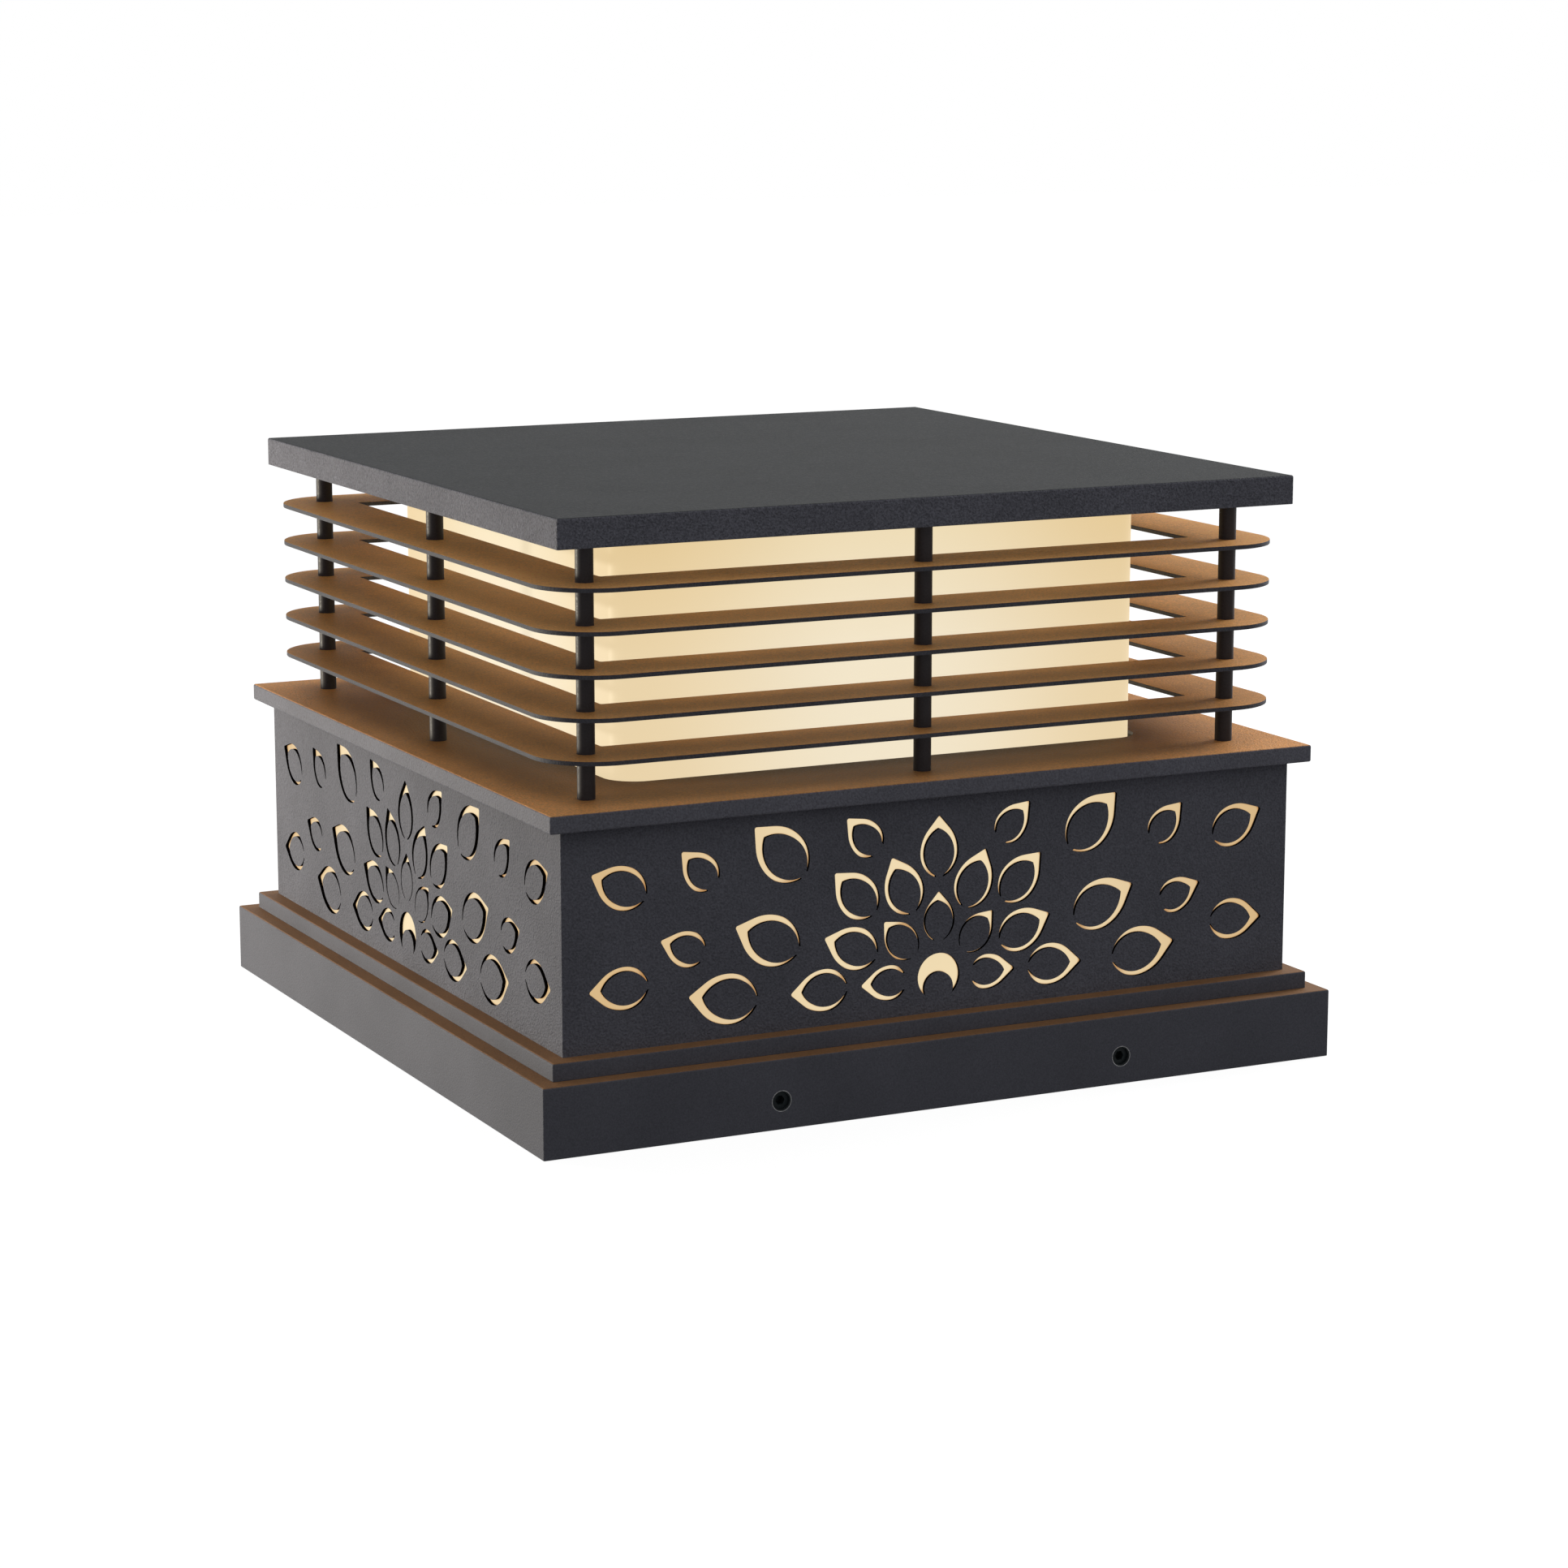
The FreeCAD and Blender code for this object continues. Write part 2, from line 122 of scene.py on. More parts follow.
# The camera follows the corners that the photograph shows. The lights stand low behind the left side
# and high on the right.
CAMERA_PLACE, CAMERA_AIM = (-0.62845, -1.28937, 0.35988), (0.010098, 0.0, 0.083772)
SENSOR_WIDTH = 36.0
KEY_PLACE, KEY_SIZE, KEY_TINT = (-0.82, 0.58, 0.055), 0.12, (1.0, 0.925, 0.76)
SIDE_PLACE, SIDE_SIZE = (1.0, 0.2, 0.5), 0.5
LIGHT_AIM = (0.0, 0.0, 0.1)
FLOOR_HALF, FLOOR_DROP = 6.0, 0.2 * MM
FLOOR_GREY, FLOOR_GLOW = (0.2, 0.2, 0.2), 0.935


def colour(name, description, default):
    """A colour setting."""
    return bpy.props.FloatVectorProperty(
        name=name, description=description, default=default, subtype="COLOR", size=3, min=0.0, max=1.0
    )


def length(name, description, millimetres):
    """A length setting, written here in millimetres."""
    return bpy.props.FloatProperty(
        name=name, description=description, default=millimetres * MM, min=0.0, unit="LENGTH", precision=5
    )


def power(name, description, watts):
    """A light's power setting."""
    return bpy.props.FloatProperty(name=name, description=description, default=watts, min=0.0, unit="POWER")


def share(name, description, default, top=1.0):
    """A share of one, or a plain strength."""
    return bpy.props.FloatProperty(name=name, description=description, default=default, min=0.0, max=top)


class LAMP_PG_sheet(bpy.types.PropertyGroup):
    """How the sheet metal is folded and rounded."""

    bend_radius: length("Bend radius", "Outside radius where a sheet is folded", 0.7)
    corner_radius: length("Corner radius", "Radius of the ground upright corners", 0.6)
    edge_radius: length("Edge radius", "Radius of a painted cut edge", 0.18)
    ring_corner: length("Ring corner", "Corner radius of the louver rings", 22.0)
    ring_inner_corner: length("Ring opening corner", "Corner radius of the rings' openings", 0.5)
    shade_corner: length("Shade corner", "Corner radius of the shade", 9.5)
    shade_wall: length("Shade wall", "Thickness of the shade", 3.0)


class LAMP_PG_coat(bpy.types.PropertyGroup):
    """Colours and grain of the powder coats."""

    # Painted shade: the skirt and the step get a darker copy of the charcoal, darker towards the bottom.
    moulding_grey_shaded: colour("Moulding grey", "Upright faces of the skirt and the step", (0.091, 0.0925, 0.112))
    charcoal: colour("Charcoal", "Sand-texture coat on the panels", (0.114, 0.1155, 0.139))
    # Painted light: the rims of the cap and the flange get a lighter copy of the charcoal.
    cap_charcoal_lit: colour("Cap charcoal", "Rims of the cap and the flange", (0.128, 0.129, 0.155))
    # Painted shade: the louver rings' rims get a darker copy of the charcoal.
    rim_grey_shaded: colour("Rim grey", "Rims of the louver rings", (0.070, 0.070, 0.082))
    # Bronze and low bronze are partly the rings' coat and partly painted warm light from the lit shade; the
    # change from the one to the other, lowest ring to highest, is painted light.
    bronze: colour("Bronze", "Flats of the highest louver ring", (1.0, 0.505, 0.175))
    low_bronze_shaded: colour("Low bronze", "Flats of the lowest louver ring", (0.68, 0.325, 0.112))
    # Partly the flange's coat and partly painted warm light from the lit shade.
    flange_brown_lit: colour("Flange brown", "Flange's top, near its rim", (0.82, 0.385, 0.137))
    # Painted shade: what is left of the flats' colour beside the shade's foot, on the flange and on the
    # rings.
    foot_shade_share: share("Foot share", "Share of the flange's brown that is left near the shade", 0.08)
    ring_shade_share: share("Ring share", "Share of the rings' bronze that is left near the shade", 0.80)
    # Partly the ledges' coat and partly painted warm light.
    ledge_brown_lit: colour("Ledge brown", "Flats of the skirt and the step", (0.285, 0.148, 0.070))
    # Painted shade: the cap's flat top is given a far darker grey than its rims.
    cap_grey_shaded: colour("Cap grey", "Flat top of the cap", (0.028, 0.030, 0.0315))
    post_black: colour("Post black", "Satin coat on the posts", (0.034, 0.030, 0.033))
    # Painted shade: the walls of the slots are given a near-black copy of the coat.
    slot_shade_black: colour("Cut edge", "Coat inside the slots", (0.002, 0.0015, 0.0015))
    grain_size: length("Grain size", "Size of the sand texture in the coat", 0.62)
    coarse_grain: length("Coarse grain", "Size of the sand texture on the panels, flange and cap", 0.75)
    grain_depth: length("Grain depth", "Depth of the sand texture in the coat", 0.30)


class LAMP_PG_glow(bpy.types.PropertyGroup):
    """Colours of the lit shade and diffusers."""

    shade_middle: colour("Shade middle", "Light of the shade in the middle of a side", (0.890, 0.785, 0.590))
    shade_ends: colour("Shade ends", "Light of the shade near its corners", (0.818, 0.652, 0.402))
    shade_top: colour("Shade top", "What the shade's light is multiplied by at its top", (0.95, 0.90, 0.78))
    diffuser_middle: colour("Diffuser middle", "Light of a diffuser in its middle", (0.850, 0.690, 0.430))
    diffuser_ends: colour("Diffuser ends", "Light of a diffuser at its ends", (0.665, 0.455, 0.225))
    wall_shade: colour(
        "Wall shade", "What a diffuser's light is multiplied by beside a slot's wall", (0.66, 0.47, 0.32)
    )
    plastic: colour("Plastic", "The lit plastic's own colour", (0.040, 0.036, 0.030))


class LAMP_PG_stage(bpy.types.PropertyGroup):
    """Camera and studio lights."""

    lens: bpy.props.FloatProperty(
        name="Lens", description="Focal length on a 36 mm sensor", default=91.675, min=1.0, unit="CAMERA"
    )
    key_power: power("Key light", "Power of the low, warm light on the left", 10.9)
    side_power: power("Side light", "Power of the soft light on the right", 8.5)
    room_light: share("Room light", "Strength of the even light from all round", 0.40, 10.0)


# ---------------------------------------------------------------- lotus pattern

# A petal's length from its tip to its two fine ends, and its shape as shares of that length. Its
# outer edge runs from a blunt tip along a straight flank and over a shoulder arc to its widest point,
# and on round a back arc to the end. Its inner edge is two arcs that meet at its own widest point.
LARGE = {
    "length": 25.0, "widest": 0.563, "half_width": 0.346, "shoulder": 0.585, "back": 0.444, "end": 0.060,
    "inner_tip": 0.177, "inner_widest": 0.604, "inner_half_width": 0.273, "inner_back": 0.395,
}
MEDIUM = {
    "length": 20.8, "widest": 0.568, "half_width": 0.350, "shoulder": 0.590, "back": 0.427, "end": 0.060,
    "inner_tip": 0.172, "inner_widest": 0.580, "inner_half_width": 0.271, "inner_back": 0.430,
}
SMALL = {
    "length": 17.2, "widest": 0.580, "half_width": 0.353, "shoulder": 0.600, "back": 0.370, "end": 0.160,
    "inner_tip": 0.184, "inner_widest": 0.600, "inner_half_width": 0.269, "inner_back": 0.375,
}
BUD = {
    "length": 16.6, "widest": 0.556, "half_width": 0.355, "shoulder": 0.580, "back": 0.460, "end": 0.110,
    "inner_tip": 0.141, "inner_widest": 0.556, "inner_half_width": 0.315, "inner_back": 0.470,
}
TIP_RADIUS = 0.72
TIP_STEPS, ARC_STEPS = 4, 10

# Where each petal's tip lies: (petal, distance from the middle, height above the panel's lower edge,
# tilt in degrees). Those off the middle are cut on both sides.
PETALS = [
    (SMALL, 28.5, 12.0, 0.0),
    (BUD, 20.2, 32.4, 47.0),
    (BUD, 0.0, 40.8, 90.0),
    (MEDIUM, 54.8, 11.9, -1.0),
    (MEDIUM, 42.3, 29.4, 22.0),
    (MEDIUM, 38.7, 50.8, 45.0),
    (MEDIUM, 17.6, 53.9, 67.5),
    (MEDIUM, 0.0, 66.8, 90.0),
    (LARGE, 92.1, 15.0, 8.5),
    (LARGE, 75.1, 36.6, 24.0),
    (LARGE, 68.2, 69.0, 44.0),
    (SMALL, 34.2, 68.9, 45.5),
    (SMALL, 94.6, 63.2, 46.0),
    (SMALL, 102.1, 34.7, 21.0),
    (MEDIUM, 126.5, 58.7, 25.0),
    (MEDIUM, 127.6, 20.3, -1.5),
]
HEART = {"radius": 8.0, "height": 12.4, "inner_radius": 5.5, "inner_drop": 4.0, "steps": 36}


def arc(centre, radius, start, end, steps):
    """Points along an arc from one angle to another, both ends included."""
    angles = [start + (end - start) * step / steps for step in range(steps + 1)]
    return [(centre[0] + radius * math.cos(a), centre[1] + radius * math.sin(a)) for a in angles]


def circle(centre, radius, steps):
    """Points round a circle."""
    return arc(centre, radius, 0.0, 2 * math.pi, steps)[:-1]


def petal_outline(petal):
    """A pointed crescent round the x axis, its blunt tip at (0, 0) and its two fine ends near x = -length."""
    up = math.pi / 2
    tip = TIP_RADIUS / petal["length"]
    shoulder_centre = (-petal["widest"], petal["half_width"] - petal["shoulder"])
    away = math.atan2(shoulder_centre[1], shoulder_centre[0]) % (2 * math.pi)
    flank = away - math.acos((tip - petal["shoulder"]) / math.hypot(*shoulder_centre))
    back_centre = (-petal["widest"], petal["half_width"] - petal["back"])
    back_end = math.pi - math.asin((petal["end"] - back_centre[1]) / petal["back"])
    inner_centre = (-petal["inner_widest"], petal["inner_half_width"] - petal["inner_back"])
    inner_end = math.pi - math.asin((petal["end"] - inner_centre[1]) / petal["inner_back"])
    reach = petal["inner_widest"] - petal["inner_tip"]
    front = (reach ** 2 + petal["inner_half_width"] ** 2) / (2 * petal["inner_half_width"])
    front_centre = (-petal["inner_widest"], petal["inner_half_width"] - front)
    front_start = math.atan2(-front_centre[1], reach)
    half = arc((0.0, 0.0), tip, 0.0, flank, TIP_STEPS)
    half += arc(shoulder_centre, petal["shoulder"], flank, up, ARC_STEPS)
    half += arc(back_centre, petal["back"], up, back_end, ARC_STEPS)[1:]
    half += arc(inner_centre, petal["inner_back"], inner_end, up, ARC_STEPS)
    half += arc(front_centre, front, up, front_start, ARC_STEPS)[1:]
    other = [(x, -y) for x, y in reversed(half[1:-1])]
    return [(petal["length"] * x, petal["length"] * y) for x, y in half + other]


def heart_outline():
    """The crescent at the heart of the lotus, open at the bottom."""
    radius, inner, drop, steps = HEART["radius"], HEART["inner_radius"], HEART["inner_drop"], HEART["steps"]
    end_drop = (radius ** 2 - inner ** 2 + drop ** 2) / (2 * drop)
    end_x = math.sqrt(radius ** 2 - end_drop ** 2)
    start = math.atan2(-end_drop, end_x)
    inner_start = math.atan2(drop - end_drop, end_x)
    outer = arc((0.0, 0.0), radius, start, math.pi - start, steps)[:-1]
    return outer + arc((0.0, -drop), inner, math.pi - inner_start, inner_start, steps)[:-1]


def slot_outlines():
    """Every slot of the pattern on a panel, in millimetres from the middle of its lower edge."""
    outlines = [[(x, HEART["height"] + y) for x, y in heart_outline()]]
    for petal, tip_x, tip_height, tilt in PETALS:
        lean = math.radians(tilt)
        outline = []
        for x, y in petal_outline(petal):
            across = tip_x + x * math.cos(lean) - y * math.sin(lean)
            outline.append((across, tip_height + x * math.sin(lean) + y * math.cos(lean)))
        outlines.append(outline)
        if tip_x > 0:
            outlines.append([(-x, y) for x, y in outline])
    return outlines


# ---------------------------------------------------------------- meshes


def put(name, data):
    """A new object in the scene."""
    made = bpy.data.objects.new(name, data)
    bpy.context.scene.collection.objects.link(made)
    return made


def new_object(name, mesh, sharp=40.0):
    """A mesh object in the scene, shaded smooth up to an angle in degrees."""
    mesh.shade_smooth()
    mesh.set_sharp_from_angle(angle=math.radians(sharp))
    return put(name, mesh)


def finish_piece(piece, nodes, slot, *materials):
    """Gives a new piece its finish and its body, in place of its CAD nodes. The slot is not used."""
    for material in materials:
        piece.data.materials.append(material)
    modifier = piece.modifiers.new("even shading", "WEIGHTED_NORMAL")
    modifier.keep_sharp = True
    modifier.weight = 100
    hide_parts(*nodes)
    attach(piece, BODY)


def mesh_from(name, bm):
    """A clean mesh from a bmesh, which is used up."""
    bmesh.ops.remove_doubles(bm, verts=bm.verts, dist=SAME_POINT)
    bmesh.ops.recalc_face_normals(bm, faces=bm.faces)
    mesh = bpy.data.meshes.new(name)
    bm.to_mesh(mesh)
    bm.free()
    return mesh


def evaluated_mesh(item):
    """An object's mesh with its curve or its modifiers worked out."""
    bpy.context.view_layer.update()
    return bpy.data.meshes.new_from_object(item.evaluated_get(bpy.context.evaluated_depsgraph_get()))


def join_rows(bm, rows, closed=True):
    """Faces from each round of points to the next, and from the last to the first where it is closed."""
    count = len(rows[0])
    for row, other in zip(rows, rows[1:] + rows[:1] if closed else rows[1:]):
        for k in range(count):
            bm.faces.new((row[k], row[(k + 1) % count], other[(k + 1) % count], other[k]))


def square_loop(half, height, radius, steps):
    """Points round a level square with rounded corners about the lamp's axis."""
    points = []
    reach = half - radius
    for quarter, (side_x, side_y) in enumerate(((1, 1), (-1, 1), (-1, -1), (1, -1))):
        for step in range(steps + 1):
            angle = math.pi / 2 * (quarter + step / steps)
            x = reach * side_x + radius * math.cos(angle)
            points.append((x, reach * side_y + radius * math.sin(angle), height))
    return points


def square_mesh(name, loops, steps, closed=True):
    """A mesh from level square loops (half width, height, corner radius), each joined to the next."""
    bm = bmesh.new()
    rows = [[bm.verts.new(point) for point in square_loop(*loop, steps)] for loop in loops]
    join_rows(bm, rows, closed)
    if not closed:
        bm.faces.new(rows[0])
        bm.faces.new(rows[-1])
    return mesh_from(name, bm)


def fold(corners, outer_half, upright_radius, closed=True):
    """Square loops along a folded sheet's outline (half width, height, bend radius), right angles only."""
    loops = []
    count = len(corners)
    for k, (half, height, bend) in enumerate(corners):
        if not closed and k in (0, count - 1):
            loops.append((half, height, max(upright_radius - (outer_half - half), 0.0)))
            continue
        here = Vector((half, height))
        before = (Vector(corners[k - 1][:2]) - here).normalized()
        after = (Vector(corners[(k + 1) % count][:2]) - here).normalized()
        centre = here + (before + after) * bend
        for step in range(BEND_STEPS + 1):
            turn = math.pi / 2 * step / BEND_STEPS
            point = centre - bend * (after * math.cos(turn) + before * math.sin(turn))
            loops.append((point.x, point.y, max(upright_radius - (outer_half - point.x), 0.0)))
    return loops


def cut_sheet(name, outlines, thickness, edge_radius):
    """A flat sheet between z = 0 and its thickness, from an outer outline and holes, in metres."""
    curve = bpy.data.curves.new(name, "CURVE")
    curve.dimensions = "2D"
    curve.fill_mode = "BOTH"
    curve.extrude = thickness / 2 - edge_radius
    curve.bevel_depth = edge_radius
    curve.bevel_resolution = 1
    curve.offset = -edge_radius
    for outline in outlines:
        spline = curve.splines.new("POLY")
        spline.points.add(len(outline) - 1)
        for point, (x, y) in zip(spline.points, outline):
            point.co = (x, y, 0.0, 1.0)
        spline.use_cyclic_u = True
    holder = put(name, curve)
    filled = evaluated_mesh(holder)
    filled.transform(Matrix.Translation((0, 0, thickness / 2)))
    bm = bmesh.new()
    bm.from_mesh(filled)
    bpy.data.objects.remove(holder)
    bpy.data.curves.remove(curve)
    bpy.data.meshes.remove(filled)
    return mesh_from(name, bm)


def lathe(bm, profile, steps, matrix):
    """Adds a turned piece to a bmesh, from a closed profile of (radius, distance along its axis)."""
    rows = []
    for radius, along in profile:
        rows.append([bm.verts.new((x, y, along)) for x, y in circle((0.0, 0.0), radius, steps)])
    join_rows(bm, rows)
    bmesh.ops.transform(bm, matrix=matrix, verts=[vert for row in rows for vert in row])


# ---------------------------------------------------------------- shader nodes


def feed(tree, socket, value):
    """Links an output to an input, or sets the input's plain value."""
    if isinstance(value, bpy.types.NodeSocket):
        tree.links.new(value, socket)
    elif socket.type == "RGBA":
        socket.default_value = (*value, 1.0)
    else:
        socket.default_value = value


def add(tree, kind, inputs=None, **settings):
    """A node with its settings, and its inputs by title or number as plain values or outputs."""
    node = tree.nodes.new(kind)
    for name, value in settings.items():
        setattr(node, name, value)
    for key, value in (inputs or {}).items():
        feed(tree, node.inputs[key], value)
    return node


def shared(tree, title, inputs=None):
    """The outputs of a shader group placed in a material's tree."""
    return add(tree, "ShaderNodeGroup", inputs, node_tree=bpy.data.node_groups[title]).outputs


def number(tree, operation, *values):
    """The number that a Math node makes of one or two."""
    return add(tree, "ShaderNodeMath", dict(enumerate(values)), operation=operation).outputs[0]


def product(tree, first, second):
    """Two colours multiplied."""
    return add(tree, "ShaderNodeVectorMath", {0: first, 1: second}, operation="MULTIPLY").outputs[0]


def scaled(tree, base, factor):
    """A colour multiplied by a number."""
    return add(tree, "ShaderNodeVectorMath", {0: base, "Scale": factor}, operation="SCALE").outputs[0]


def ramp(tree, value, limits, ends=WHOLE, **settings):
    """A value that runs between two ends while the one given runs between two limits."""
    inputs = {"Value": value, "From Min": limits[0], "From Max": limits[1]}
    inputs.update({"To Min": ends[0], "To Max": ends[1]})
    return add(tree, "ShaderNodeMapRange", inputs, **settings).outputs[0]


def about(middle, margin):
    """The two ends of a range round its middle."""
    return middle - margin, middle + margin


def mix_colours(tree, factor, first, second):
    """A mix of two colours."""
    return add(tree, "ShaderNodeMix", {0: factor, 6: first, 7: second}, data_type="RGBA").outputs[2]


def noise(tree, per_metre, **inputs):
    """Noise over a piece, with about so many clouds to the metre."""
    place = add(tree, "ShaderNodeTexCoord").outputs["Object"]
    return add(tree, "ShaderNodeTexNoise", {"Vector": place, "Scale": per_metre, **inputs}).outputs[0]


# ---------------------------------------------------------------- shared shader groups


def node_group(name, inputs, outputs):
    """A shader group of plain numbers: its tree, its inputs and its outputs."""
    tree = bpy.data.node_groups.new(name, "ShaderNodeTree")
    for title, default in inputs.items():
        socket = tree.interface.new_socket(title, in_out="INPUT", socket_type="NodeSocketFloat")
        socket.default_value = default
    for title in outputs:
        tree.interface.new_socket(title, in_out="OUTPUT", socket_type="NodeSocketFloat")
    return tree, tree.nodes.new("NodeGroupInput").outputs, tree.nodes.new("NodeGroupOutput").inputs


def grain_group():
    """Sand texture of a powder coat: its height, a tone that follows the height, and a slow cloudiness."""
    tree, source, sink = node_group("Sand grain", {"Grain size": 0.5 * MM}, ("Height", "Tone", "Cloud"))
    worm_scale, worm_share, clouds_per_metre = 0.4, 0.45, 28.0
    fine = number(tree, "DIVIDE", 1.0, source["Grain size"])
    grit = noise(tree, fine, Detail=1.0)
    worms = noise(tree, number(tree, "MULTIPLY", fine, worm_scale), Detail=1.0, Distortion=1.8)
    height = add(tree, "ShaderNodeMix", {0: worm_share, 2: grit, 3: worms}).outputs[0]
    feed(tree, sink["Height"], height)
    feed(tree, sink["Tone"], ramp(tree, height, about(0.5, 0.14)))
    feed(tree, sink["Cloud"], ramp(tree, noise(tree, clouds_per_metre), about(0.5, 0.15)))


def facing_group():
    """1 on faces that look up, 0 on upright faces and undersides."""
    tree, source, sink = node_group("Looks up", {"Softness": 0.2}, ("Mask",))
    sharp_start, full = 0.8, 0.95
    normal = add(tree, "ShaderNodeNewGeometry").outputs["Normal"]
    upward = add(tree, "ShaderNodeSeparateXYZ", {0: normal}).outputs["Z"]
    start = number(tree, "SUBTRACT", sharp_start, source["Softness"])
    feed(tree, sink["Mask"], ramp(tree, upward, (start, full)))


def spread_group():
    """Three ramps from 0 to 1: outwards along each upright side, rimwards across a flat, and upwards."""
    tree, source, sink = node_group(
        "Spread", {"Start": 0.0, "End": 0.1, "Low": 0.0, "High": 0.1}, ("Outwards", "Rimwards", "Upwards")
    )
    place = add(tree, "ShaderNodeTexCoord").outputs["Object"]
    across, deep, height = add(tree, "ShaderNodeSeparateXYZ", {0: place}).outputs
    sizes = [number(tree, "ABSOLUTE", value) for value in (across, deep)]
    outwards = number(tree, "MINIMUM", *sizes)
    # A distance from the middle that runs in rounded squares.
    squares = [number(tree, "MULTIPLY", value, value) for value in (across, deep)]
    pair = add(tree, "ShaderNodeCombineXYZ", dict(enumerate(squares))).outputs[0]
    size = add(tree, "ShaderNodeVectorMath", {0: pair}, operation="LENGTH").outputs["Value"]
    rimwards = number(tree, "SQRT", size)
    limits = (source["Start"], source["End"])
    for value, title in ((outwards, "Outwards"), (rimwards, "Rimwards")):
        feed(tree, sink[title], ramp(tree, value, limits, interpolation_type="SMOOTHSTEP"))
    feed(tree, sink["Upwards"], ramp(tree, height, (source["Low"], source["High"])))


def spread(tree, reach=WHOLE, levels=WHOLE):
    """The ramps of the spread group between two distances and between two levels."""
    return shared(tree, "Spread", dict(zip(("Start", "End", "Low", "High"), (*reach, *levels))))


# ---------------------------------------------------------------- finishes


def surface(name, **values):
    """A new material with its Principled shader's plain sockets set: (material, tree, shader)."""
    material = bpy.data.materials.new(name)
    material.use_nodes = True
    tree = material.node_tree
    shader = tree.nodes["Principled BSDF"]
    for title, value in values.items():
        feed(tree, shader.inputs[title.replace("_", " ")], value)
    return material, tree, shader


def coat_top(tree, top, painted_rise, inner):
    """The colour of a coat's flats: see coat."""
    # Painted light: the flats get brighter from the lower level to the upper.
    if painted_rise is not None:
        second, levels = painted_rise
        top = mix_colours(tree, spread(tree, levels=levels)["Upwards"], top, second)
    if inner is not None:
        # Painted shade: the flats are darkened towards the lamp's axis, round the shade's foot.
        left, reach = inner
        painted_shade_dim = mix_colours(tree, spread(tree, reach=reach)["Rimwards"], (left, left, left), WHITE)
        top = product(tree, painted_shade_dim, top)
    return top


def coat(
    name,
    side,
    top=None,
    rough=0.6,
    grain=None,
    depth=None,
    contrast=0.22,
    specular=0.1,
    painted_rise=None,
    inner=None,
    flat_grain=1.0,
):
    """Powder coat: one colour on upright faces, another on those that look up, with sand grain.

    rise is (second top colour, levels): top turns into that colour from the lower level to the upper, painted
    light that makes the higher flats brighter.
    inner is (share, reach): painted shade round the shade's foot; top is multiplied by the share within the
    first distance from the lamp's axis, and by more and more up to one at the second.
    flat_grain is the share of the grain's depth that faces looking up keep.
    """
    settings = bpy.context.scene.lamp_coat
    material, tree, shader = surface(name, Specular_IOR_Level=specular)
    sand = shared(tree, "Sand grain", {"Grain size": grain if grain else settings.grain_size})
    look, height = side, sand["Height"]
    # On the louver rings, the flange and the ledges the flats' colour is partly a bronze coat and partly
    # painted warm light from the lit shade; on the cap it is painted shade.
    if top is not None:
        up = shared(tree, "Looks up")["Mask"]
        look = mix_colours(tree, up, side, coat_top(tree, top, painted_rise, inner))
        if flat_grain < 1.0:
            height = number(tree, "MULTIPLY", height, ramp(tree, up, WHOLE, (1.0, flat_grain)))
    tone = ramp(tree, sand["Tone"], WHOLE, about(1.0, contrast))
    cloud = ramp(tree, sand["Cloud"], WHOLE, about(1.0, 0.07))
    feed(tree, shader.inputs["Base Color"], scaled(tree, look, number(tree, "MULTIPLY", tone, cloud)))
    feed(tree, shader.inputs["Roughness"], ramp(tree, sand["Tone"], WHOLE, about(rough, 0.08)))
    relief = {"Strength": 1.0, "Distance": depth if depth else settings.grain_depth, "Height": height}
    feed(tree, shader.inputs["Normal"], add(tree, "ShaderNodeBump", relief).outputs[0])
    return material


def glow(name, middle, ends, top, reach, levels, unevenness, wall=None):
    """Opal plastic lit from behind, dimmer towards the ends of each side and multiplied by top at its top.

    wall is (colour, distance): the light is multiplied by that colour close to the walls in front of it.
    """
    clouds_per_metre = 22.0
    plastic = bpy.context.scene.lamp_glow.plastic
    material, tree, shader = surface(
        name, Base_Color=plastic, Roughness=0.5, Specular_IOR_Level=0.1, Emission_Strength=1.0
    )
    ramps = spread(tree, reach, levels)
    along = mix_colours(tree, ramps["Outwards"], middle, ends)
    light = product(tree, along, mix_colours(tree, ramps["Upwards"], WHITE, top))
    if wall is not None:
        tint, distance = wall
        near = add(tree, "ShaderNodeAmbientOcclusion", {"Distance": distance}, samples=16).outputs["AO"]
        light = product(tree, light, mix_colours(tree, ramp(tree, near, WALL_LIMITS), tint, WHITE))
    drift = ramp(tree, noise(tree, clouds_per_metre), about(0.5, 0.2), about(1.0, unevenness))
    feed(tree, shader.inputs["Emission Color"], scaled(tree, light, drift))
    return material


def mottled(name, base, rough, grain, metallic=0.0, contrast=0.12, specular=0.5):
    """Zinc coat, bare metal, rubber or moulded plastic with a mottled surface."""
    material, tree, shader = surface(name, Metallic=metallic, Specular_IOR_Level=specular)
    sand = shared(tree, "Sand grain", {"Grain size": grain})
    tone = ramp(tree, sand["Tone"], WHOLE, about(1.0, contrast))
    feed(tree, shader.inputs["Base Color"], scaled(tree, base, tone))
    feed(tree, shader.inputs["Roughness"], ramp(tree, sand["Cloud"], WHOLE, about(rough, 0.1)))
    relief = {"Strength": 0.25, "Distance": 0.04 * MM, "Height": sand["Height"]}
    feed(tree, shader.inputs["Normal"], add(tree, "ShaderNodeBump", relief).outputs[0])
    return material


def dress(material, *nodes):
    """Gives CAD nodes that are kept a material."""
    for name in nodes:
        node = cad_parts[name]
        if not node.material_slots:
            node.data.materials.append(material)
        for slot in node.material_slots:
            slot.material = material


# ---------------------------------------------------------------- operators


class LAMP_OT_finishes(bpy.types.Operator):
    """Make the shader groups that several finishes share"""

    bl_idname = "lamp.finishes"
    bl_label = "Shared finishes"

    def execute(self, context):
        grain_group()
        facing_group()
        spread_group()
        return {"FINISHED"}


